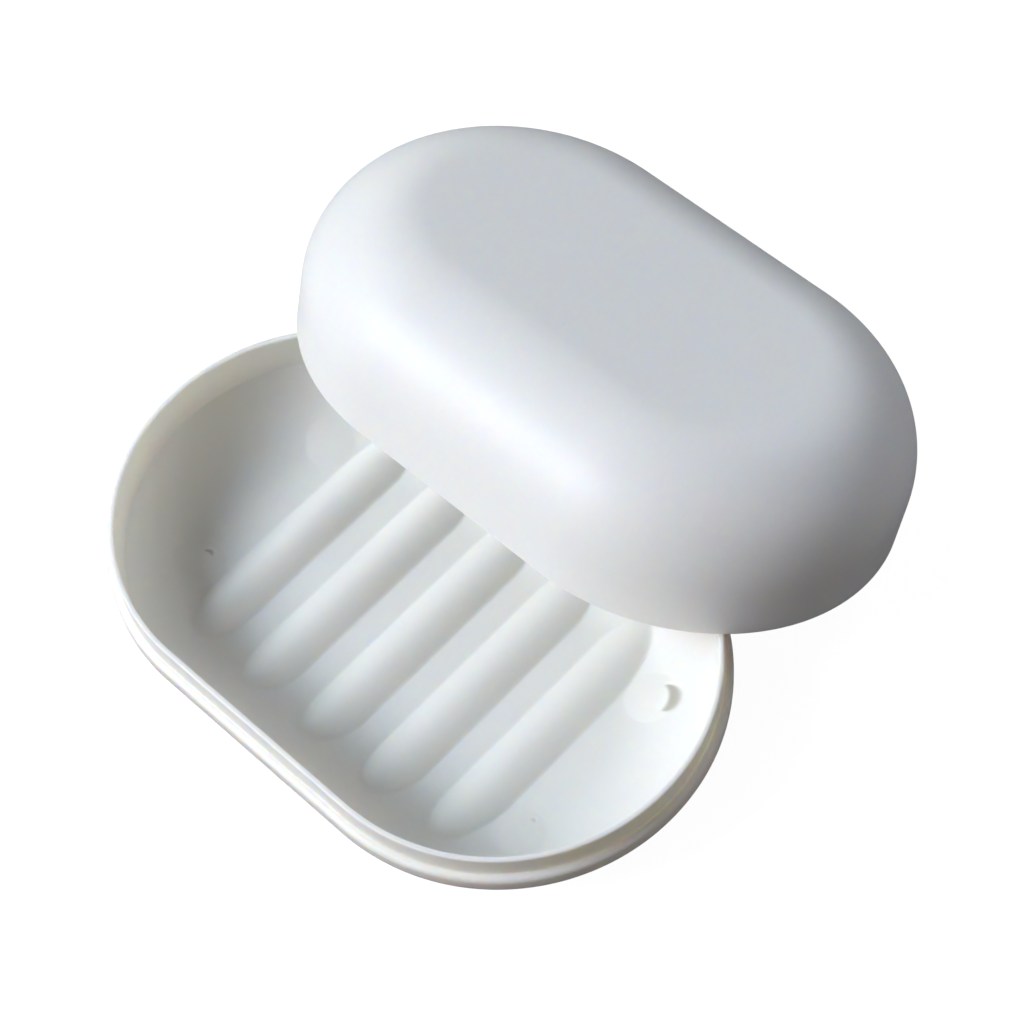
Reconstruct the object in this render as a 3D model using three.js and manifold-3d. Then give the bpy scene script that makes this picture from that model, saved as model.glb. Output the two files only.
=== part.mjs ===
// Two-piece soap box, open: an oval tray with ribs for the soap, and a domed lid that leans on it
// with the far edge of its rim on the table and the near edge across the tray's lip.
// Millimetres, +Z up. The origin is the centre of the tray's underside, with X along the box.
import * as THREE from 'three';
import { mergeVertices } from 'three/addons/utils/BufferGeometryUtils.js';
import Module from 'manifold-3d';

// Plan of the box: two half circles joined by straight sides.
const BOX_LENGTH = 116;
const BOX_WIDTH = 75;

// Tray: a bowl with a thin upright lip, a shoulder that the lid sits on and a band below it.
const TRAY_HEIGHT = 20.2;
const TRAY_WALL = 1.4;
const LIP_HEIGHT = 4.8;
const LIP_THICKNESS = 1.0;
const LIP_DRAFT = 0.15;
const SHOULDER_WIDTH = 1.4;
const BAND_HEIGHT = 2.8;
const BAND_ROUND = 1.6;
const CREASE_DEPTH = 8.2;
const BOWL_RADIUS = 18.5;
const EDGE_ROUND = 0.35;

// Ribs across the tray's floor, cored from beneath.
const RIB_COUNT = 5;
const RIB_PITCH = 14.36;
const RIB_WIDTH = 9;
const RIB_HEIGHT = 2.8;

// Four round pads, left by the pins that push the tray out of its mould.
const PAD_DIAMETER = 9;
const PAD_RISE = 0.2;
const PAD_OFFSET = 5.5;
const PAD_ANGLE = 42.4;

// Lid: a skirt that slides over the lip, and an elliptical crown.
const LID_HEIGHT = 27.7;
const LID_TOP = 1.4;
const LID_CLEARANCE = 0.2;
const SKIRT_HEIGHT = 9.3;
const CROWN_WIDTH = 19.4;

// How the lid lies: its rim laps the tray's plan, is shifted along it, and is a hair off its supports.
const LID_LAP = 26.4;
const LID_SHIFT = -3.45;
const REST_GAP = 0.3;

// Facets along a half circle of the plan, and along the profiles' arcs.
const PLAN_STEPS = 36;
const BOWL_STEPS = 8;
const CROWN_STEPS = 12;
const EDGE_STEPS = 2;
const RIB_STEPS = 12;
const PAD_STEPS = 32;

// Radii of the plan's half circles, and heights, that follow from the sizes above.
const OUTER = BOX_WIDTH / 2;
const STRAIGHT = BOX_LENGTH / 2 - OUTER;
const LIP_OUTER = OUTER - SHOULDER_WIDTH;
const LIP_INNER = LIP_OUTER - LIP_THICKNESS;
const LID_INNER = LIP_OUTER + LID_CLEARANCE;
const SHOULDER_Z = TRAY_HEIGHT - LIP_HEIGHT;
const CREASE_Z = TRAY_HEIGHT - CREASE_DEPTH;
const CREASE_R = LIP_INNER - LIP_DRAFT;
const BOWL_Z = TRAY_WALL + BOWL_RADIUS;
const FLOOR_R = CREASE_R - Math.sqrt(BOWL_RADIUS ** 2 - (BOWL_Z - CREASE_Z) ** 2);
const RIB_RADIUS = (RIB_WIDTH ** 2 / 4 + RIB_HEIGHT ** 2) / (2 * RIB_HEIGHT);
const RIB_AXIS_Z = TRAY_WALL + RIB_HEIGHT - RIB_RADIUS;

const wasm = await Module();
wasm.setup();

/** Points of an ellipse arc in the (radius, height) plane, ends included, angles in degrees. */
function arc(centreR, centreZ, semiR, semiZ, from, to, steps) {
  return Array.from({ length: steps + 1 }, (_, i) => {
    const angle = THREE.MathUtils.degToRad(from + ((to - from) * i) / steps);
    return [centreR + semiR * Math.cos(angle), centreZ + semiZ * Math.sin(angle)];
  });
}

/** Angle in degrees below the horizontal at which a bowl arc of this radius reaches a height. */
function bowlAngle(radius, height) {
  return -THREE.MathUtils.radToDeg(Math.asin((BOWL_Z - height) / radius));
}

/** A closed solid from loose triangles: merges shared corners and drops collapsed triangles. */
function solid(geometry) {
  geometry.deleteAttribute('normal');
  geometry.deleteAttribute('uv');
  const merged = mergeVertices(geometry, 1e-4);
  const corners = merged.index.array;
  const triangles = [];
  for (let i = 0; i < corners.length; i += 3) {
    const [a, b, c] = corners.slice(i, i + 3);
    if (a !== b && b !== c && c !== a) {
      triangles.push(a, b, c);
    }
  }
  const mesh = new wasm.Mesh({
    numProp: 3,
    vertProperties: new Float32Array(merged.attributes.position.array),
    triVerts: new Uint32Array(triangles),
  });
  return new wasm.Manifold(mesh);
}

/** Carries a profile of [radius, height] points round the plan. It starts and ends on the axis. */
function oval(profile) {
  const columns = [];
  for (const side of [1, -1]) {
    for (let i = 0; i <= PLAN_STEPS; i += 1) {
      const angle = (Math.PI * i) / PLAN_STEPS - (side * Math.PI) / 2;
      const place = ([r, z]) => [side * STRAIGHT + r * Math.cos(angle), r * Math.sin(angle), z];
      columns.push(profile.map(place));
    }
  }
  const positions = columns.flatMap((column, j) => {
    const next = columns[(j + 1) % columns.length];
    return column.slice(1).flatMap((_, k) => [
      ...column[k], ...next[k], ...next[k + 1],
      ...column[k], ...next[k + 1], ...column[k + 1],
    ]);
  });
  const geometry = new THREE.BufferGeometry();
  geometry.setAttribute('position', new THREE.Float32BufferAttribute(positions, 3));
  return solid(geometry);
}

/** Bowl-shaped block: all that lies above the bowl's arc moved outwards by an offset. */
function bowl(offset) {
  const radius = BOWL_RADIUS + offset;
  const brim = [LIP_INNER + offset, TRAY_HEIGHT];
  const side = arc(FLOOR_R, BOWL_Z, radius, radius, -90, bowlAngle(radius, CREASE_Z), BOWL_STEPS);
  return oval([[0, TRAY_WALL - offset], ...side, brim, [0, TRAY_HEIGHT]]);
}

/** Bar along Y whose top is a round of the given radius about the rib's axis. */
function ribBar(x, radius, bottom) {
  const spread = Math.acos((bottom - RIB_AXIS_Z) / radius);
  const outline = new THREE.Shape();
  outline.absarc(0, RIB_AXIS_Z, radius, Math.PI / 2 - spread, Math.PI / 2 + spread);
  const bar = new THREE.ExtrudeGeometry(outline, {
    depth: BOX_WIDTH,
    bevelEnabled: false,
    curveSegments: RIB_STEPS,
  });
  bar.rotateX(Math.PI / 2);
  bar.translate(x, BOX_WIDTH / 2, 0);
  return solid(bar);
}

/** Upright pin at one of the four pads, as tall as the tray. */
function padPin(signX, signY) {
  const angle = THREE.MathUtils.degToRad(PAD_ANGLE);
  const reach = FLOOR_R + PAD_OFFSET;
  const pin = new THREE.CylinderGeometry(PAD_DIAMETER / 2, PAD_DIAMETER / 2, TRAY_HEIGHT, PAD_STEPS);
  pin.rotateX(Math.PI / 2);
  pin.translate(
    signX * (STRAIGHT + reach * Math.cos(angle)),
    signY * reach * Math.sin(angle),
    TRAY_HEIGHT / 2,
  );
  return solid(pin);
}

/** The tray's section: underside, bowl, band, shoulder, lip, inner face, crease, bowl and floor. */
function trayShell() {
  const bandZ = SHOULDER_Z - BAND_HEIGHT;
  const outside = BOWL_RADIUS + TRAY_WALL;
  const belly = arc(
    FLOOR_R, BOWL_Z, outside, outside, -90, bowlAngle(outside, bandZ - BAND_ROUND), BOWL_STEPS,
  );
  const bandFoot = belly.at(-1)[0];
  const shoulderZ = SHOULDER_Z - EDGE_ROUND;
  const lipZ = TRAY_HEIGHT - EDGE_ROUND;
  return oval([
    [0, 0],
    ...belly,
    ...arc(bandFoot, bandZ, OUTER - bandFoot, BAND_ROUND, -90, 0, 2 * EDGE_STEPS).slice(1),
    ...arc(OUTER - EDGE_ROUND, shoulderZ, EDGE_ROUND, EDGE_ROUND, 0, 90, EDGE_STEPS),
    [LIP_OUTER, SHOULDER_Z],
    ...arc(LIP_OUTER - EDGE_ROUND, lipZ, EDGE_ROUND, EDGE_ROUND, 0, 90, EDGE_STEPS),
    ...arc(LIP_INNER + EDGE_ROUND, lipZ, EDGE_ROUND, EDGE_ROUND, 90, 180, EDGE_STEPS),
    ...arc(
      FLOOR_R, BOWL_Z, BOWL_RADIUS, BOWL_RADIUS, bowlAngle(BOWL_RADIUS, CREASE_Z), -90, BOWL_STEPS,
    ),
    [0, TRAY_WALL],
  ]);
}

/** The tray: its shell with the ribs and pads grown out of the bowl, and the ribs' cores cut. */
function traySolid() {
  const buried = TRAY_WALL / 2;
  const inWall = bowl(buried);
  let tray = trayShell();
  for (const signX of [1, -1]) {
    for (const signY of [1, -1]) {
      const pad = padPin(signX, signY).intersect(inWall).subtract(bowl(-PAD_RISE));
      tray = tray.add(pad);
    }
  }
  for (let i = 0; i < RIB_COUNT; i += 1) {
    const x = (i - (RIB_COUNT - 1) / 2) * RIB_PITCH;
    tray = tray.add(ribBar(x, RIB_RADIUS, buried).intersect(inWall));
    tray = tray.subtract(ribBar(x, RIB_RADIUS - TRAY_WALL, -TRAY_WALL));
  }
  return tray;
}

/** The lid in its own frame, rim down at z = 0. */
function lidSolid() {
  const crownR = OUTER - CROWN_WIDTH;
  const crownZ = LID_HEIGHT - SKIRT_HEIGHT;
  const rimR = OUTER - EDGE_ROUND;
  return oval([
    [0, LID_HEIGHT - LID_TOP],
    ...arc(crownR, SKIRT_HEIGHT, LID_INNER - crownR, crownZ - LID_TOP, 90, 0, CROWN_STEPS),
    [LID_INNER, 0],
    ...arc(rimR, EDGE_ROUND, EDGE_ROUND, EDGE_ROUND, -90, 0, EDGE_STEPS),
    ...arc(crownR, SKIRT_HEIGHT, CROWN_WIDTH, crownZ, 0, 90, CROWN_STEPS),
    [0, LID_HEIGHT],
  ]);
}

/** Points along the flat underside of the lid's rim, on a few rings across it. */
function rimPoints() {
  const rings = 4;
  const steps = 20 * PLAN_STEPS;
  const points = [];
  for (let ring = 0; ring < rings; ring += 1) {
    const r = THREE.MathUtils.lerp(LID_INNER, OUTER - EDGE_ROUND, ring / (rings - 1));
    for (let i = 0; i <= 2 * steps; i += 1) {
      const angle = (Math.PI * i) / steps;
      const x = Math.sign(Math.cos(angle)) * STRAIGHT + r * Math.cos(angle);
      points.push(new THREE.Vector3(x, r * Math.sin(angle), 0));
    }
  }
  return points;
}

/** Whether a point lies over the top of the tray's lip, in plan. */
function overLip({ x, y }) {
  const r = Math.hypot(Math.max(Math.abs(x) - STRAIGHT, 0), y);
  return r > LIP_INNER && r < LIP_OUTER;
}

/** Lets the lid down until its rim meets the table at the far side and the lip at both ends. */
function settle(lid) {
  const rim = rimPoints();
  const reach = BOX_WIDTH - LID_LAP;
  lid.rotation.set(-0.3, 0, 0, 'ZYX');
  for (let turn = 0; turn < 60; turn += 1) {
    lid.position.set(LID_SHIFT, reach, 0);
    lid.updateMatrix();
    const placed = rim.map((point) => point.clone().applyMatrix4(lid.matrix));
    lid.position.z = REST_GAP - Math.min(...placed.map((point) => point.z));
    const crossings = placed.filter(overLip);
    const gap = (ends) => lid.position.z + Math.min(...ends.map((point) => point.z)) - TRAY_HEIGHT;
    const left = gap(crossings.filter((point) => point.x < 0));
    const right = gap(crossings.filter((point) => point.x > 0));
    lid.rotation.x += ((left + right) / 2 - REST_GAP) / BOX_WIDTH;
    lid.rotation.y += (right - left) / BOX_LENGTH;
  }
}

/** A named mesh of a solid in its own plastic. */
function piece(name, body, colour, roughness) {
  const { vertProperties, triVerts } = body.getMesh();
  const geometry = new THREE.BufferGeometry();
  geometry.setAttribute('position', new THREE.BufferAttribute(vertProperties, 3));
  geometry.setIndex(new THREE.BufferAttribute(triVerts, 1));
  geometry.computeVertexNormals();
  const material = new THREE.MeshStandardMaterial({ color: colour, roughness, metalness: 0 });
  const mesh = new THREE.Mesh(geometry, material);
  mesh.name = name;
  return mesh;
}

const tray = piece('tray', traySolid(), 0xeceeea, 0.45);
const lid = piece('lid', lidSolid(), 0xeef0f0, 0.4);
settle(lid);

const soapBox = new THREE.Group();
soapBox.add(tray, lid);

export default soapBox;
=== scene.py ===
"""Looks of an open two-piece soap box: a ribbed tray, and a domed lid that leans on it."""

import logging
import math
from dataclasses import dataclass, field
from enum import Enum

import bpy
import numpy as np
from mathutils import Matrix, Vector


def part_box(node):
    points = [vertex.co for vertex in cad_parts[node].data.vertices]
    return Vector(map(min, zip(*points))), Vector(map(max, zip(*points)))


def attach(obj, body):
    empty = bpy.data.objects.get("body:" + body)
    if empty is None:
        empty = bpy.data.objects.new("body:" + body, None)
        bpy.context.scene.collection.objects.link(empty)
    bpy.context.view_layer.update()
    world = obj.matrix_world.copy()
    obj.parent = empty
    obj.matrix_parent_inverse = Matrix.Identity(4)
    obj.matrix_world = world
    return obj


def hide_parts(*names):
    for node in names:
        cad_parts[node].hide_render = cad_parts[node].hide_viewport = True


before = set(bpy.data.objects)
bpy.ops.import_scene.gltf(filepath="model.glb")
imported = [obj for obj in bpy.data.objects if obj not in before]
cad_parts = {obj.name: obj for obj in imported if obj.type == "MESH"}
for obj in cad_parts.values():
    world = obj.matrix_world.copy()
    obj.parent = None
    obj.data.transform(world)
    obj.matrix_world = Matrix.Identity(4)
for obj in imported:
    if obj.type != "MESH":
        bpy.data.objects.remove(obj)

MM = 0.001
# Name of the point attribute that says where painted shade darkens the tray's colour behind the pin marks'
# burrs.
PAINTED_SHADE_NOTE = "painted_shade"
WHITE = (1.0, 1.0, 1.0, 1.0)
MICRON_DIGITS = 6

# Noise of the plastic's skin: the mottle's scale counts patches in a metre.
MOTTLE_SCALE = 45.0
MOTTLE_DETAIL = 3.0
GRAIN_DETAIL = 2.0

LOG = logging.getLogger("soap_box")

Pair = tuple[float, float]
Triple = tuple[float, float, float]
Corner = tuple[int, int]

CORNERS: tuple[Corner, ...] = ((1, 1), (1, -1), (-1, 1), (-1, -1))


class Facing(Enum):
    """Which side of a grid is its outside, looking along rows and then columns."""

    AS_LAID = 1
    TURNED = -1


@dataclass
class MeshDraft:
    """One piece's surface, gathered grid by grid and welded at the end where points are shared."""

    weld: float = 1e-7
    points: list[np.ndarray] = field(default_factory=list)
    triangles: list[np.ndarray] = field(default_factory=list)
    count: int = 0

    def add_grid(self, grid: np.ndarray, facing: Facing) -> None:
        """Adds a grid of points as two triangles a cell.

        Args:
            grid: points as rows x columns x 3, in metres.
            facing: whether the cells are taken as laid, or turned over.
        """
        rows, columns = grid.shape[:2]
        index = self.count + np.arange(rows * columns).reshape(rows, columns)
        a, b, c, d = index[:-1, :-1], index[:-1, 1:], index[1:, 1:], index[1:, :-1]
        cells = np.stack([a, b, c, a, c, d], axis=-1).reshape(-1, 3)
        self.points.append(grid.reshape(-1, 3))
        self.triangles.append(cells if facing is Facing.AS_LAID else cells[:, ::-1])
        self.count += rows * columns

    def build(self, name: str) -> bpy.types.Object:
        """Welds shared points, drops collapsed triangles and makes the object.

        Args:
            name: the new object's name.

        Returns:
            The object, at the origin, smooth shaded.
        """
        keys = np.round(np.concatenate(self.points) / self.weld).astype(np.int64)
        _, first, inverse = np.unique(keys, axis=0, return_index=True, return_inverse=True)
        points = np.concatenate(self.points)[first].astype(np.float32)
        corners = inverse.reshape(-1)[np.concatenate(self.triangles)]
        a, b, c = corners.T
        corners = corners[(a != b) & (b != c) & (c != a)].astype(np.int32)
        mesh = bpy.data.meshes.new(name)
        mesh.vertices.add(len(points))
        mesh.vertices.foreach_set("co", points.ravel())
        mesh.loops.add(corners.size)
        mesh.loops.foreach_set("vertex_index", corners.ravel())
        mesh.polygons.add(len(corners))
        mesh.polygons.foreach_set("loop_start", np.arange(0, corners.size, 3, dtype=np.int32))
        mesh.polygons.foreach_set("use_smooth", np.ones(len(corners), dtype=bool))
        mesh.update(calc_edges=True)
        mesh.validate()
        piece = bpy.data.objects.new(name, mesh)
        bpy.context.scene.collection.objects.link(piece)
        return piece


def points_of(mesh: bpy.types.Mesh) -> np.ndarray:
    """Reads a mesh's points.

    Args:
        mesh: the mesh to read.

    Returns:
        Its points as count x 3, in metres.
    """
    points = np.empty(len(mesh.vertices) * 3, dtype=np.float32)
    mesh.vertices.foreach_get("co", points)
    return points.reshape(-1, 3).astype(float)


def soft_max(a: np.ndarray, b: np.ndarray, blend: float) -> np.ndarray:
    """The larger of two heights, with the corner between them rounded over a blend length."""
    overlap = np.maximum(blend - np.abs(a - b), 0.0) / blend
    return np.maximum(a, b) + overlap**2 * blend / 4.0


def smooth_step(value: np.ndarray) -> np.ndarray:
    """Cubic step: 0 below 0, 1 above 1, and 3t^2 - 2t^3 between."""
    t = np.clip(value, 0.0, 1.0)
    return t * t * (3.0 - 2.0 * t)


def arc(centre: Pair, semi: Pair, turn: Pair, steps: int) -> np.ndarray:
    """Points of an ellipse arc in the (radius, height) plane, ends included.

    A point is the centre plus the half axes times the cosine and the sine of its angle.

    Args:
        centre: radius and height of the arc's centre.
        semi: half axes along radius and height.
        turn: first and last angle in degrees.
        steps: number of stretches.

    Returns:
        Points as (steps + 1) x 2.
    """
    angle = np.radians(np.linspace(turn[0], turn[1], steps + 1))
    return np.stack([centre[0] + semi[0] * np.cos(angle), centre[1] + semi[1] * np.sin(angle)], axis=-1)


def line(start: Pair, end: Pair, steps: int) -> np.ndarray:
    """Points of a straight stretch in the (radius, height) plane, ends included."""
    return np.linspace(start, end, steps + 1)


@dataclass(frozen=True)
class OvalPlan:
    """Plan of two half circles joined by straight sides, cut into stations along its length.

    A station is a point of the axis and a unit direction across it: on the straight stretch the
    direction is +Y, and on the ends it turns from +Y to the tip.
    """

    straight: float
    centre: np.ndarray
    along: np.ndarray
    across: np.ndarray

    @classmethod
    def through(cls, straight: float, radius: float, stations: np.ndarray) -> "OvalPlan":
        """Makes the plan whose stations pass through given places of one of its outlines.

        Args:
            straight: half the length of the straight sides.
            radius: radius of the outline that the places are on.
            stations: rising X of the places, from one tip to the other.

        Returns:
            The plan.
        """
        centre = np.clip(stations, -straight, straight)
        along = np.clip((stations - centre) / radius, -1.0, 1.0)
        across = np.sqrt(np.maximum(1.0 - along**2, 0.0))
        return cls(straight, centre, along, across)

    def reach(self, x: np.ndarray, y: np.ndarray) -> np.ndarray:
        """Distance of points from the plan's axis."""
        return np.hypot(np.maximum(np.abs(x) - self.straight, 0.0), y)

    def sheet(self, radius: float, rows: np.ndarray) -> tuple[np.ndarray, np.ndarray]:
        """Grid that fills one outline, with rows from one long side to the other.

        Args:
            radius: radius of the outline.
            rows: rising places across the sheet, from -1 to 1.

        Returns:
            X and Y of the grid's points.
        """
        x = np.broadcast_to(self.centre + radius * self.along, (len(rows), len(self.centre)))
        y = rows[:, None] * radius * self.across[None, :]
        return x, y

    def carry(self, profile: np.ndarray) -> np.ndarray:
        """Carries a profile once round the plan, anticlockwise from the +X tip.

        A point is the station's point of the axis plus the profile's radius times its direction.

        Args:
            profile: radius and height of its points.

        Returns:
            Points as profile points x columns x 3, the last column on the first.
        """
        radius = profile[:, :1]
        x = self.centre + radius * self.along
        y = radius * self.across
        z = np.broadcast_to(profile[:, 1:], x.shape)
        back = np.stack([x[:, ::-1], y[:, ::-1], z], axis=-1)
        front = np.stack([x, -y, z], axis=-1)
        return np.concatenate([back, front[:, 1:]], axis=1)


@dataclass(frozen=True)
class Burr:
    """Raised edge beside a pin mark: it climbs to a sharp crest on an arc and dips behind it.

    The arc's heading and its spread to either side are in degrees, and the painted shade's amount is from 0
    to 1:
    it darkens the colour in the dip behind the crest, where shade falls. The values below it are shares of
    the fall, apart from tip_fade, which says how fast the painted shade comes in from the arc's ends.
    """

    heading: float
    spread: float
    crest: float
    climb: float
    fall: float
    height: float
    dip: float
    # Painted shade in the dip behind the crest: how much, and where it starts, ends and fades.
    painted_shade: float
    return_share: float = 0.5
    painted_shade_start: float = 0.3
    painted_shade_end: float = 0.7
    painted_shade_fade: float = 0.5
    tip_fade: float = 3.0
    least_share: float = 0.05

    def place(self, x: np.ndarray, y: np.ndarray) -> tuple[np.ndarray, np.ndarray]:
        """Places about the mark's middle as seen from the crest.

        Args:
            x: offsets along X from the mark's middle.
            y: offsets along Y.

        Returns:
            The burr's share there, which shrinks from 1 to 0 at the arc's ends, and the distance
            past the crest.
        """
        turn = (np.degrees(np.arctan2(y, x)) - self.heading + 180.0) % 360.0 - 180.0
        share = np.maximum(1.0 - (turn / self.spread) ** 2, 0.0)
        return share, np.hypot(x, y) - self.crest

    def painted_shade_at(self, x: np.ndarray, y: np.ndarray) -> np.ndarray:
        """How much painted shade darkens the colour behind the crest, in the dip where shade falls, at
        places about the mark's middle.

        It grows in behind the crest and fades out about the end of the fall, both as cubic steps, and
        it shrinks towards the arc's ends.

        Args:
            x: offsets along X from the mark's middle.
            y: offsets along Y.

        Returns:
            The amounts, from 0 to 1.
        """
        share, past = self.place(x, y)
        width = self.fall * np.maximum(share, self.least_share)
        begins = smooth_step(past / (self.painted_shade_start * self.fall))
        ends = 1.0 - smooth_step((past - self.painted_shade_end * width) / (self.painted_shade_fade * width))
        return self.painted_shade * smooth_step(self.tip_fade * share) * begins * ends

    def lift(self, x: np.ndarray, y: np.ndarray) -> np.ndarray:
        """Height that the burr adds at places about the mark's middle.

        In front of the crest it grows as a square. Behind it, it falls as a square to the dip, and
        from there a cubic step leads back to nothing. All of it shrinks towards the arc's ends.

        Args:
            x: offsets along X from the mark's middle.
            y: offsets along Y.

        Returns:
            The added heights.
        """
        share, past = self.place(x, y)
        front = self.height * np.clip(1.0 + past / self.climb, 0.0, 1.0) ** 2
        step = past / (self.fall * np.maximum(share, self.least_share))
        drop = np.clip(1.0 - step, 0.0, 1.0) ** 2
        behind = (self.height + self.dip) * drop - self.dip
        behind = behind * (1.0 - smooth_step((step - 1.0) / self.return_share))
        return share * np.where(past < 0.0, front, behind)


def mould_burrs() -> dict[Corner, Burr]:
    """Burrs beside three of the four pin marks, by the signs of the marks' X and Y.

    Returns:
        The burrs.
    """
    # The last value of each burr is the amount of painted shade in the dip behind its crest.
    return {
        (1, 1): Burr(
            heading=33.0, spread=50.0, crest=2.9 * MM, climb=1.6 * MM, fall=2.4 * MM,
            height=0.25 * MM, dip=0.45 * MM, painted_shade=1.0,
        ),
        (-1, -1): Burr(
            heading=100.0, spread=22.0, crest=2.3 * MM, climb=0.5 * MM, fall=0.95 * MM,
            height=0.08 * MM, dip=0.25 * MM, painted_shade=0.9,
        ),
        (1, -1): Burr(
            heading=86.0, spread=12.0, crest=2.9 * MM, climb=0.4 * MM, fall=0.60 * MM,
            height=0.10 * MM, dip=0.25 * MM, painted_shade=0.3,
        ),
    }


@dataclass
class Tray:
    """The tray: a bowl with ribs and pin marks, a lip, a shoulder, a band and a cored underside.

    Columns, rows and steps say how fine the mesh is. The ends of the rows' stretches are shares of the
    half width, and inner_share is the share of the wall that counts as its inside.
    """

    length: float
    width: float
    height: float
    wall: float = 1.4 * MM
    lip_height: float = 4.8 * MM
    lip_thickness: float = 1.0 * MM
    lip_draft: float = 0.15 * MM
    shoulder_width: float = 1.4 * MM
    band_height: float = 2.8 * MM
    band_round: float = 1.6 * MM
    crease_depth: float = 8.2 * MM
    bowl_radius: float = 18.5 * MM
    edge_round: float = 0.35 * MM
    shoulder_round: float = 0.9 * MM
    corner_round: float = 0.3 * MM
    rib_count: int = 5
    rib_pitch: float = 14.36 * MM
    rib_width: float = 9.5 * MM
    rib_height: float = 2.35 * MM
    rib_bell: float = 1.1
    rib_blend: float = 0.30 * MM
    foot_zone: float = 0.8 * MM
    pad_diameter: float = 9.0 * MM
    pad_rise: float = 0.36 * MM
    pad_offset: float = 5.5 * MM
    pad_angle: float = 42.4
    pad_grid: float = 0.2 * MM
    burrs: dict[Corner, Burr] = field(default_factory=mould_burrs)
    inner_share: float = 0.7
    foot_columns: int = 11
    crest_columns: int = 13
    gap_columns: int = 3
    tip_columns: int = 25
    plain_end: float = 0.34
    marked_end: float = 0.72
    round_steps: int = 8
    corner_steps: int = 4
    edge_steps: int = 5
    lip_steps: int = 6

    def __post_init__(self) -> None:
        """Works out radii and heights that follow from the sizes."""
        self.outer = self.width / 2.0
        self.straight = self.length / 2.0 - self.outer
        self.lip_outer = self.outer - self.shoulder_width
        self.lip_inner = self.lip_outer - self.lip_thickness
        self.shoulder_z = self.height - self.lip_height
        self.crease_z = self.height - self.crease_depth
        self.crease_r = self.lip_inner - self.lip_draft
        self.bowl_z = self.wall + self.bowl_radius
        drop = self.bowl_z - self.crease_z
        self.floor_r = self.crease_r - math.sqrt(self.bowl_radius**2 - drop**2)
        self.rib_half = self.rib_width / 2.0
        self.core_half = self.rib_half - self.wall
        self.band_z = self.shoulder_z - self.band_height
        self.belly_z = self.band_z - self.band_round
        outside = self.bowl_radius + self.wall
        self.belly_r = self.floor_r + math.sqrt(outside**2 - (self.bowl_z - self.belly_z) ** 2)

    def stations(self) -> np.ndarray:
        """X of the grid's columns: close together at the ribs' feet and over the pin marks.

        Returns:
            Rising X along the crease's outline, from tip to tip.
        """
        half = self.rib_half
        foot = np.linspace(-self.foot_zone, self.foot_zone, self.foot_columns)
        crest = np.linspace(-half + self.foot_zone, half - self.foot_zone, self.crest_columns)[1:-1]
        rib = np.concatenate([foot - half, crest, [-self.core_half, self.core_half], foot + half])
        shift = (np.arange(self.rib_count) - (self.rib_count - 1) / 2.0) * self.rib_pitch
        ribs = (shift[:, None] + rib[None, :]).ravel()
        gap_start = half + self.foot_zone
        gap = self.rib_pitch - 2.0 * gap_start
        share = np.linspace(0.0, 1.0, self.gap_columns + 2)[1:-1]
        between = (shift[:-1, None] + gap_start + gap * share[None, :]).ravel()
        first = ribs.max() + self.pad_grid
        pads = np.arange(first, first + self.pad_diameter + 2.0 * self.foot_zone, self.pad_grid)
        start = math.asin((pads[-1] - self.straight) / self.crease_r)
        angle = np.linspace(start, math.pi / 2.0, self.tip_columns)[1:]
        tip = self.straight + self.crease_r * np.sin(angle)
        side = np.concatenate([pads, tip])
        return np.sort(np.concatenate([-side, ribs, between, side]))

    def rows(self, plain: int, marked: int, upper: int) -> np.ndarray:
        """Places of the grid's rows, from -1 to 1, in three stretches out from the middle.

        Args:
            plain: number of rows where the ribs run straight.
            marked: number of rows on either side over the pin marks and the ribs' ends.
            upper: number of rows on either side up the wall.

        Returns:
            The rising places.
        """
        middle = np.linspace(-self.plain_end, self.plain_end, plain)
        beside = np.linspace(self.plain_end, self.marked_end, marked + 1)[1:]
        above = np.linspace(self.marked_end, 1.0, upper + 1)[1:]
        outer = np.concatenate([beside, above])
        return np.concatenate([-outer[::-1], middle, outer])

    def bowl(self, reach: np.ndarray, offset: float) -> np.ndarray:
        """Height of the bowl's surface: a flat floor, and then a circle's arc up the wall.

        On the arc it is the centre's height less the root of radius^2 - out^2, where out is the
        distance from the floor's edge.

        Args:
            reach: distances of the places from the plan's axis.
            offset: how far outside the bowl's inside the surface lies.

        Returns:
            The heights.
        """
        radius = self.bowl_radius + offset
        out = np.clip(reach - self.floor_r, 0.0, radius)
        return self.bowl_z - np.sqrt(radius**2 - out**2)

    def rib(self, x: np.ndarray, half: float, foot: float) -> np.ndarray:
        """Height of the ribs' section: a bell (1 - t^2)^n on the foot level, which drops away beside it.

        Args:
            x: X of the places.
            half: half the bell's width.
            foot: height of its foot.

        Returns:
            The heights.
        """
        limit = (self.rib_count - 1) / 2.0
        nearest = np.clip(np.round(x / self.rib_pitch), -limit, limit) * self.rib_pitch
        off = np.abs(x - nearest)
        bell = np.maximum(1.0 - (off / half) ** 2, 0.0) ** self.rib_bell
        return foot + self.rib_height * bell - np.maximum(off - half, 0.0)

    def from_mark(self, x: np.ndarray, y: np.ndarray, corner: Corner) -> tuple[np.ndarray, np.ndarray]:
        """Offsets of places from the middle of the pin mark in one corner.

        Args:
            x: X of the places.
            y: Y of them.
            corner: signs of the mark's X and Y.

        Returns:
            The offsets along X and along Y.
        """
        angle = math.radians(self.pad_angle)
        reach = self.floor_r + self.pad_offset
        middle_x = self.straight + reach * math.cos(angle)
        return x - corner[0] * middle_x, y - corner[1] * reach * math.sin(angle)

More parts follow.
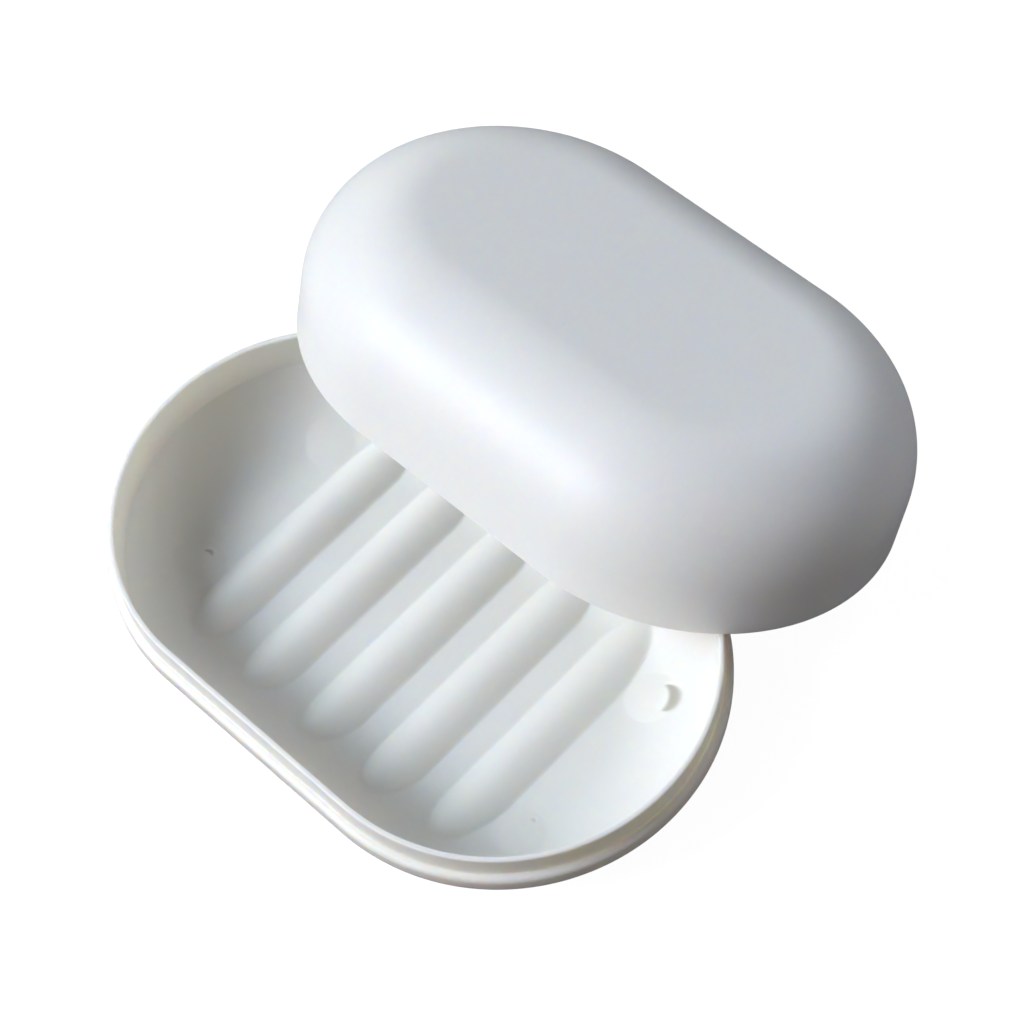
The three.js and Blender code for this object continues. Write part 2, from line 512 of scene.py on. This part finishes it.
    def pin_mark(self, x: np.ndarray, y: np.ndarray, corner: Corner) -> np.ndarray:
        """Height that a mould pin's mark adds: a low round dome, rise * (1 - d^2 / r^2), and its burr.

        Args:
            x: X of the places.
            y: Y of them.
            corner: signs of the mark's X and Y.

        Returns:
            The added heights.
        """
        from_x, from_y = self.from_mark(x, y, corner)
        share = np.hypot(from_x, from_y) / (self.pad_diameter / 2.0)
        added = self.pad_rise * np.maximum(1.0 - share**2, 0.0)
        if corner in self.burrs:
            added = added + self.burrs[corner].lift(from_x, from_y)
        return added

    def inside(self, plan: OvalPlan) -> np.ndarray:
        """Grid of the tray's inside up to the crease: bowl, pin marks and ribs.

        Args:
            plan: the tray's plan.

        Returns:
            Points as rows x stations x 3.
        """
        x, y = plan.sheet(self.crease_r, self.rows(plain=9, marked=46, upper=24))
        z = self.bowl(plan.reach(x, y), 0.0)
        for corner in CORNERS:
            z = z + self.pin_mark(x, y, corner)
        z = soft_max(z, self.rib(x, self.rib_half, self.wall), self.rib_blend)
        return np.stack([x, y, z], axis=-1)

    def underside(self, plan: OvalPlan) -> np.ndarray:
        """Grid of the underside up to the band: flat strips, rib cores and the bowl's outer arc.

        Args:
            plan: the tray's plan.

        Returns:
            Points as rows x stations x 3.
        """
        x, y = plan.sheet(self.belly_r, self.rows(plain=5, marked=16, upper=12))
        belly = self.bowl(plan.reach(x, y), self.wall)
        return np.stack([x, y, np.maximum(belly, self.rib(x, self.core_half, 0.0))], axis=-1)

    def rim_profile(self) -> np.ndarray:
        """Section from the band's foot up over shoulder and lip and down to the crease.

        Each edge is an arc, and straight stretches join them.

        Returns:
            Radius and height of its points.
        """
        r, edge, corner = self.edge_round, self.shoulder_round, self.corner_round
        lip_z = self.height - r
        band_foot = (self.outer - self.belly_r, self.band_round)
        nook = (self.lip_outer + corner, self.shoulder_z + corner)
        return np.concatenate([
            arc((self.belly_r, self.band_z), band_foot, (-90, 0), self.round_steps),
            arc((self.outer - edge, self.shoulder_z - edge), (edge, edge), (0, 90), self.round_steps),
            arc(nook, (corner, corner), (270, 180), self.corner_steps),
            arc((self.lip_outer - r, lip_z), (r, r), (0, 90), self.edge_steps),
            arc((self.lip_inner + r, lip_z), (r, r), (90, 180), self.edge_steps),
            line((self.lip_inner, lip_z - r), (self.crease_r, self.crease_z + r), self.lip_steps),
            [(self.crease_r, self.crease_z)],
        ])

    def build(self) -> bpy.types.Object:
        """Makes the tray's closed mesh.

        Returns:
            The tray's object.
        """
        plan = OvalPlan.through(self.straight, self.crease_r, self.stations())
        draft = MeshDraft()
        draft.add_grid(self.inside(plan), Facing.AS_LAID)
        draft.add_grid(plan.carry(self.rim_profile()), Facing.AS_LAID)
        draft.add_grid(self.underside(plan), Facing.TURNED)
        piece = draft.build("tray_moulding")
        # Painted shade: notes where the colour is darkened in the dips behind the burrs.
        self.painted_shade(piece, plan)
        return piece

    def painted_shade(self, piece: bpy.types.Object, plan: OvalPlan) -> None:
        """Notes on the inside of the tray where painted shade darkens the colour behind the burrs of the pin
        marks, in the dips where shade falls.

        Args:
            piece: the tray's object, which gets the note as a point attribute.
            plan: the tray's plan.
        """
        x, y, z = points_of(piece.data).T
        amount = np.zeros(len(x))
        for corner, burr in self.burrs.items():
            amount = np.maximum(amount, burr.painted_shade_at(*self.from_mark(x, y, corner)))
        inside = z > self.bowl(plan.reach(x, y), 0.0) - self.inner_share * self.wall
        note = piece.data.attributes.new(PAINTED_SHADE_NOTE, "FLOAT", "POINT")
        note.data.foreach_set("value", np.where(inside, amount, 0.0).astype(np.float32))


@dataclass
class Lid:
    """The lid: a thin shell of a straight skirt and an elliptical crown, where the CAD lid leans.

    Columns and steps say how fine the mesh is.
    """

    place: Matrix
    length: float
    width: float
    height: float
    top: float = 1.4 * MM
    wall: float = 1.2 * MM
    skirt: float = 9.3 * MM
    crown: float = 19.4 * MM
    edge_round: float = 0.35 * MM
    inner_round: float = 0.2 * MM
    end_columns: int = 97
    straight_columns: int = 13
    flat_steps: int = 6
    crown_steps: int = 40
    skirt_steps: int = 8
    edge_steps: int = 5
    inner_crown_steps: int = 32
    inner_skirt_steps: int = 6
    inner_edge_steps: int = 3

    @classmethod
    def standing_as(cls, node: str) -> "Lid":
        """Reads the lean and the size of a CAD lid from its mesh.

        A lid is symmetric about two upright planes, so the main axes of its points are its own
        length, width and height, and its middle lies on its upright axis.

        Args:
            node: the CAD node.

        Returns:
            A lid of the same overall size at the same place.
        """
        points = points_of(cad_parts[node].data)
        points = np.unique(np.round(points, MICRON_DIGITS), axis=0)
        middle = points.mean(axis=0)
        _, axes = np.linalg.eigh(np.cov((points - middle).T))
        along = axes[:, 2] * np.sign(axes[0, 2])
        up = axes[:, 0] * np.sign(axes[2, 0])
        across = np.cross(up, along)
        turned = (points - middle) @ np.stack([along, across, up], axis=-1)
        low, high = turned.min(axis=0), turned.max(axis=0)
        origin = middle + up * low[2]
        place = Matrix.Translation(Vector(origin)) @ Matrix((along, across, up)).transposed().to_4x4()
        size = high - low
        return cls(place, float(size[0]), float(size[1]), float(size[2]))

    def profile(self) -> np.ndarray:
        """Section of the shell: ceiling, inner wall, rim, outer wall and crown, from axis to axis.

        The crown is a quarter of an ellipse, outside and inside.

        Returns:
            Radius and height of its points.
        """
        outer = self.width / 2.0
        inner = outer - self.wall
        crown_r = outer - self.crown
        rise = self.height - self.skirt
        ceiling = self.height - self.top
        r, inside = self.edge_round, self.inner_round
        inner_crown = (inner - crown_r, rise - self.top)
        return np.concatenate([
            line((0.0, ceiling), (crown_r, ceiling), self.flat_steps)[:-1],
            arc((crown_r, self.skirt), inner_crown, (90, 0), self.inner_crown_steps),
            line((inner, self.skirt), (inner, inside), self.inner_skirt_steps)[1:-1],
            arc((inner + inside, inside), (inside, inside), (180, 270), self.inner_edge_steps),
            arc((outer - r, r), (r, r), (270, 360), self.edge_steps),
            line((outer, r), (outer, self.skirt), self.skirt_steps)[1:-1],
            arc((crown_r, self.skirt), (self.crown, rise), (0, 90), self.crown_steps),
            line((crown_r, self.height), (0.0, self.height), self.flat_steps)[1:],
        ])

    def build(self) -> bpy.types.Object:
        """Makes the lid's closed mesh where the lid leans.

        Returns:
            The lid's object.
        """
        outer = self.width / 2.0
        straight = self.length / 2.0 - outer
        side = straight + outer * np.sin(np.linspace(0.0, math.pi / 2.0, self.end_columns))
        middle = np.linspace(-straight, straight, self.straight_columns)[1:-1]
        stations = np.sort(np.concatenate([-side, middle, side]))
        plan = OvalPlan.through(straight, outer, stations)
        grid = plan.carry(self.profile())
        turn = np.array(self.place.to_3x3())
        placed = grid @ turn.T + np.array(self.place.translation)
        draft = MeshDraft()
        draft.add_grid(placed, Facing.AS_LAID)
        return draft.build("lid_moulding")


@dataclass(frozen=True)
class MouldedPlastic:
    """White moulded plastic that light soaks into: faint mottle in tint and gloss over a fine grain.

    With a painted shade tint, its colour is darkened towards that tint where the piece's own attribute says
    so.
    """

    name: str
    tint: Triple
    shade: Triple
    roughness: float
    soak_depth: float
    # Tint of the painted shade that darkens the colour where the piece's attribute says so.
    painted_shade_tint: Triple | None = None
    soak: float = 1.0
    soak_tint: Triple = (1.0, 0.80, 0.55)
    roughness_spread: float = 0.04
    grain_size: float = 0.30 * MM
    grain_depth: float = 0.006 * MM
    refraction: float = 1.49

    def dress(self, piece: bpy.types.Object) -> None:
        """Gives a piece this finish.

        Args:
            piece: the object to dress.
        """
        material = bpy.data.materials.new(self.name)
        material.use_nodes = True
        nodes, links = material.node_tree.nodes, material.node_tree.links
        shader = nodes["Principled BSDF"]
        shader.inputs["IOR"].default_value = self.refraction
        shader.inputs["Subsurface Weight"].default_value = self.soak
        shader.inputs["Subsurface Radius"].default_value = self.soak_tint
        shader.inputs["Subsurface Scale"].default_value = self.soak_depth
        place = nodes.new("ShaderNodeTexCoord")
        skin = nodes.new("ShaderNodeGroup")
        skin.node_tree = moulded_skin()
        skin.inputs["Tint"].default_value = (*self.tint, 1.0)
        skin.inputs["Shade"].default_value = (*self.shade, 1.0)
        skin.inputs["Gloss low"].default_value = self.roughness - self.roughness_spread
        skin.inputs["Gloss high"].default_value = self.roughness + self.roughness_spread
        skin.inputs["Grain scale"].default_value = 1.0 / self.grain_size
        bump = nodes.new("ShaderNodeBump")
        bump.inputs["Strength"].default_value = 1.0
        bump.inputs["Distance"].default_value = self.grain_depth
        links.new(place.outputs["Object"], skin.inputs["Place"])
        colour = skin.outputs["Colour"]
        # Painted shade: the colour darkens towards the shade tint where the piece's attribute says so.
        if self.painted_shade_tint is not None:
            colour = self.with_painted_shade(material.node_tree, colour)
        links.new(colour, shader.inputs["Base Color"])
        links.new(skin.outputs["Roughness"], shader.inputs["Roughness"])
        links.new(skin.outputs["Grain"], bump.inputs["Height"])
        links.new(bump.outputs["Normal"], shader.inputs["Normal"])
        piece.data.materials.clear()
        piece.data.materials.append(material)

    def with_painted_shade(self, tree: bpy.types.NodeTree, unshaded: bpy.types.NodeSocket) -> bpy.types.NodeSocket:
        """Adds the nodes that mix a colour with the painted shade tint by the amount in the piece's
        attribute.

        Args:
            tree: the material's node tree.
            unshaded: the colour without painted shade.

        Returns:
            The colour with painted shade.
        """
        mark = tree.nodes.new("ShaderNodeAttribute")
        mark.attribute_name = PAINTED_SHADE_NOTE
        darkened = tree.nodes.new("ShaderNodeMix")
        darkened.data_type = "RGBA"
        darkened.inputs["B"].default_value = (*self.painted_shade_tint, 1.0)
        tree.links.new(mark.outputs["Fac"], darkened.inputs["Factor"])
        tree.links.new(unshaded, darkened.inputs["A"])
        return darkened.outputs["Result"]


def moulded_skin() -> bpy.types.ShaderNodeTree:
    """Node group of a moulded surface: mottled tint and gloss, and a fine grain. Built once.

    Returns:
        The group.
    """
    name = "moulded_skin"
    if name in bpy.data.node_groups:
        return bpy.data.node_groups[name]
    group = bpy.data.node_groups.new(name, "ShaderNodeTree")
    face = group.interface
    face.new_socket("Place", in_out="INPUT", socket_type="NodeSocketVector")
    face.new_socket("Tint", in_out="INPUT", socket_type="NodeSocketColor")
    face.new_socket("Shade", in_out="INPUT", socket_type="NodeSocketColor")
    for socket in ("Gloss low", "Gloss high", "Grain scale"):
        face.new_socket(socket, in_out="INPUT", socket_type="NodeSocketFloat")
    face.new_socket("Colour", in_out="OUTPUT", socket_type="NodeSocketColor")
    face.new_socket("Roughness", in_out="OUTPUT", socket_type="NodeSocketFloat")
    face.new_socket("Grain", in_out="OUTPUT", socket_type="NodeSocketFloat")
    nodes, links = group.nodes, group.links
    source = nodes.new("NodeGroupInput")
    result = nodes.new("NodeGroupOutput")
    mottle = nodes.new("ShaderNodeTexNoise")
    mottle.inputs["Scale"].default_value = MOTTLE_SCALE
    mottle.inputs["Detail"].default_value = MOTTLE_DETAIL
    grain = nodes.new("ShaderNodeTexNoise")
    grain.inputs["Detail"].default_value = GRAIN_DETAIL
    colour = nodes.new("ShaderNodeMix")
    colour.data_type = "RGBA"
    gloss = nodes.new("ShaderNodeMapRange")
    links.new(source.outputs["Place"], mottle.inputs["Vector"])
    links.new(source.outputs["Place"], grain.inputs["Vector"])
    links.new(source.outputs["Grain scale"], grain.inputs["Scale"])
    links.new(mottle.outputs["Fac"], colour.inputs["Factor"])
    links.new(source.outputs["Tint"], colour.inputs["A"])
    links.new(source.outputs["Shade"], colour.inputs["B"])
    links.new(mottle.outputs["Fac"], gloss.inputs["Value"])
    links.new(source.outputs["Gloss low"], gloss.inputs["To Min"])
    links.new(source.outputs["Gloss high"], gloss.inputs["To Max"])
    links.new(colour.outputs["Result"], result.inputs["Colour"])
    links.new(gloss.outputs["Result"], result.inputs["Roughness"])
    links.new(grain.outputs["Fac"], result.inputs["Grain"])
    return group


@dataclass(frozen=True)
class SoftBox:
    """A soft square light that looks at the box from a direction, in degrees, metres and watts."""

    name: str
    azimuth: float
    elevation: float
    size: float
    power: float
    colour: Triple
    distance: float = 1.2

    def light(self, target: Vector) -> None:
        """Sets the light up.

        Args:
            target: the point that it looks at.
        """
        lamp = bpy.data.lights.new(self.name, "AREA")
        lamp.shape = "SQUARE"
        lamp.size = self.size
        lamp.energy = self.power
        lamp.color = self.colour
        holder = bpy.data.objects.new(self.name, lamp)
        turn, rise = math.radians(self.azimuth), math.radians(self.elevation)
        level = math.cos(rise)
        away = Vector((math.cos(turn) * level, math.sin(turn) * level, math.sin(rise)))
        holder.location = target + away * self.distance
        holder.rotation_euler = away.to_track_quat("Z", "Y").to_euler()
        bpy.context.scene.collection.objects.link(holder)


@dataclass(frozen=True)
class Viewpoint:
    """The camera: turned about the tray's middle at its lip, in degrees, metres and frame pixels."""

    azimuth: float = 49.87
    elevation: float = 59.79
    roll: float = -7.77
    distance: float = 419.34 * MM
    focal_pixels: float = 2557.0
    frame_pixels: float = 1024.0
    aside: float = -16.811 * MM
    above: float = -10.959 * MM
    sensor: float = 36.0
    near_limit: float = 10.0 * MM

    def place(self, target: Vector) -> None:
        """Sets the camera up and makes it the scene's.

        Args:
            target: the point that the angles turn about.
        """
        turn, rise, lean = (math.radians(a) for a in (self.azimuth, self.elevation, self.roll))
        flat = math.cos(rise)
        back = Vector((math.sin(turn) * flat, -math.cos(turn) * flat, math.sin(rise)))
        right = Vector((math.cos(turn), math.sin(turn), 0.0))
        up = back.cross(right)
        level = math.cos(lean) * right + math.sin(lean) * up
        upright = math.cos(lean) * up - math.sin(lean) * right
        lens = bpy.data.cameras.new("viewpoint")
        lens.sensor_fit = "HORIZONTAL"
        lens.sensor_width = self.sensor
        lens.lens = self.focal_pixels * self.sensor / self.frame_pixels
        lens.clip_start = self.near_limit
        holder = bpy.data.objects.new("viewpoint", lens)
        spot = target + self.distance * back - self.aside * level - self.above * upright
        facing = Matrix((level, upright, back)).transposed().to_4x4()
        holder.matrix_world = Matrix.Translation(spot) @ facing
        bpy.context.scene.collection.objects.link(holder)
        bpy.context.scene.camera = holder


@dataclass(frozen=True)
class Studio:
    """Plain pale floor, a dim surround, and soft boxes that look at one point of the open box."""

    floor_size: float = 6.0
    floor_cells: int = 8
    floor_drop: float = 0.2 * MM
    floor_tone: Triple = (0.20, 0.20, 0.20)
    floor_glow: float = 0.95
    floor_bounce: Triple = (0.20, 0.20, 0.20)
    sky: Triple = (0.005, 0.005, 0.005)
    ground: Triple = (0.01, 0.01, 0.01)
    horizon: float = 0.3
    aim: Triple = (0.0, 25.0 * MM, 20.0 * MM)
    boxes: tuple[SoftBox, ...] = (
        SoftBox("key_cool", azimuth=240.0, elevation=42.0, size=0.5, power=9.3, colour=(0.73, 0.80, 1.00)),
        SoftBox("key_warm", azimuth=240.0, elevation=30.0, size=0.6, power=4.5, colour=(1.00, 0.76, 0.57)),
        SoftBox("key_side", azimuth=220.0, elevation=42.0, size=0.5, power=4.1, colour=(0.78, 0.98, 1.00)),
        SoftBox("left_fill", azimuth=180.0, elevation=42.0, size=0.5, power=1.2, colour=(0.84, 0.80, 1.00)),
        SoftBox("left_low", azimuth=150.0, elevation=8.0, size=0.6, power=1.8, colour=(1.00, 0.91, 0.58)),
        SoftBox("back_fill", azimuth=90.0, elevation=30.0, size=0.6, power=3.4, colour=(0.85, 0.90, 1.00)),
        SoftBox("right_cool", azimuth=30.0, elevation=30.0, size=0.6, power=1.15, colour=(0.74, 0.76, 1.00)),
        SoftBox("right_warm", azimuth=0.0, elevation=30.0, size=0.6, power=1.2, colour=(1.00, 0.87, 0.67)),
    )

    def lay_floor(self) -> None:
        """Lays the floor, a flat grid just below the level that the tray stands on."""
        half = self.floor_size / 2.0
        side = np.linspace(-half, half, self.floor_cells + 1)
        x, y = np.meshgrid(side, side)
        draft = MeshDraft()
        draft.add_grid(np.stack([x, y, np.full_like(x, -self.floor_drop)], axis=-1), Facing.AS_LAID)
        floor = draft.build("floor")
        self.dress_floor(floor)

    def dress_floor(self, floor: bpy.types.Object) -> None:
        """Gives the floor its finish: it glows to the camera and throws a little light back.

        Args:
            floor: the floor's object.
        """
        material = bpy.data.materials.new("pale_floor")
        material.use_nodes = True
        nodes, links = material.node_tree.nodes, material.node_tree.links
        shader = nodes["Principled BSDF"]
        shader.inputs["Base Color"].default_value = (*self.floor_tone, 1.0)
        shader.inputs["Roughness"].default_value = 1.0
        shader.inputs["Specular IOR Level"].default_value = 0.0
        shader.inputs["Emission Color"].default_value = WHITE
        shader.inputs["Emission Strength"].default_value = self.floor_glow
        bounce = nodes.new("ShaderNodeBsdfDiffuse")
        bounce.inputs["Color"].default_value = (*self.floor_bounce, 1.0)
        path = nodes.new("ShaderNodeLightPath")
        shown = nodes.new("ShaderNodeMixShader")
        links.new(path.outputs["Is Camera Ray"], shown.inputs["Fac"])
        links.new(bounce.outputs["BSDF"], shown.inputs[1])
        links.new(shader.outputs["BSDF"], shown.inputs[2])
        links.new(shown.outputs["Shader"], nodes["Material Output"].inputs["Surface"])
        floor.data.materials.append(material)

    def hang_surround(self) -> None:
        """Gives a faint light from sky and ground, blended at the horizon, and white to look at."""
        world = bpy.data.worlds.new("surround")
        bpy.context.scene.world = world
        world.use_nodes = True
        nodes, links = world.node_tree.nodes, world.node_tree.links
        place = nodes.new("ShaderNodeTexCoord")
        split = nodes.new("ShaderNodeSeparateXYZ")
        rise = nodes.new("ShaderNodeMapRange")
        rise.inputs["From Min"].default_value = -self.horizon
        rise.inputs["From Max"].default_value = self.horizon
        tone = nodes.new("ShaderNodeMix")
        tone.data_type = "RGBA"
        tone.inputs["A"].default_value = (*self.ground, 1.0)
        tone.inputs["B"].default_value = (*self.sky, 1.0)
        path = nodes.new("ShaderNodeLightPath")
        shown = nodes.new("ShaderNodeMix")
        shown.data_type = "RGBA"
        shown.inputs["B"].default_value = WHITE
        links.new(place.outputs["Generated"], split.inputs["Vector"])
        links.new(split.outputs["Z"], rise.inputs["Value"])
        links.new(rise.outputs["Result"], tone.inputs["Factor"])
        links.new(tone.outputs["Result"], shown.inputs["A"])
        links.new(path.outputs["Is Camera Ray"], shown.inputs["Factor"])
        links.new(shown.outputs["Result"], nodes["Background"].inputs["Color"])

    def set_up(self) -> None:
        """Lays the floor, hangs the surround and lights the boxes."""
        self.lay_floor()
        self.hang_surround()
        for box in self.boxes:
            box.light(Vector(self.aim))
        bpy.context.scene.view_settings.view_transform = "Standard"


TRAY_FINISH = MouldedPlastic(
    name="tray_plastic",
    tint=(0.905, 0.898, 0.845),
    shade=(0.885, 0.878, 0.825),
    roughness=0.44,
    soak_depth=1.7 * MM,
    # Darker tint of the painted shade behind the pin marks' burrs.
    painted_shade_tint=(0.57, 0.56, 0.49),
)
LID_FINISH = MouldedPlastic(
    name="lid_plastic",
    tint=(0.88, 0.895, 0.875),
    shade=(0.86, 0.875, 0.855),
    roughness=0.46,
    soak_depth=0.8 * MM,
)


def stand_for(piece: bpy.types.Object, node: str, body: str) -> None:
    """Puts a piece in the place of a CAD node and on its body.

    Args:
        piece: the piece's object.
        node: the CAD node that it stands for.
        body: the body that it moves with.
    """
    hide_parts(node)
    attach(piece, body)
    LOG.info("%s: %d triangles, on body %s", piece.name, len(piece.data.polygons), body)


def main() -> None:
    """Builds, dresses and lights the soap box, and places the camera."""
    logging.basicConfig(level=logging.INFO)
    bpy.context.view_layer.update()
    low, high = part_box("tray")
    tray = Tray(high.x - low.x, high.y - low.y, high.z - low.z)
    tray_piece = tray.build()
    TRAY_FINISH.dress(tray_piece)
    stand_for(tray_piece, "tray", "tray")
    lid_piece = Lid.standing_as("lid").build()
    LID_FINISH.dress(lid_piece)
    stand_for(lid_piece, "lid", "lid")
    Studio().set_up()
    Viewpoint().place(Vector((0.0, 0.0, tray.height)))


if __name__ == "__main__":
    main()
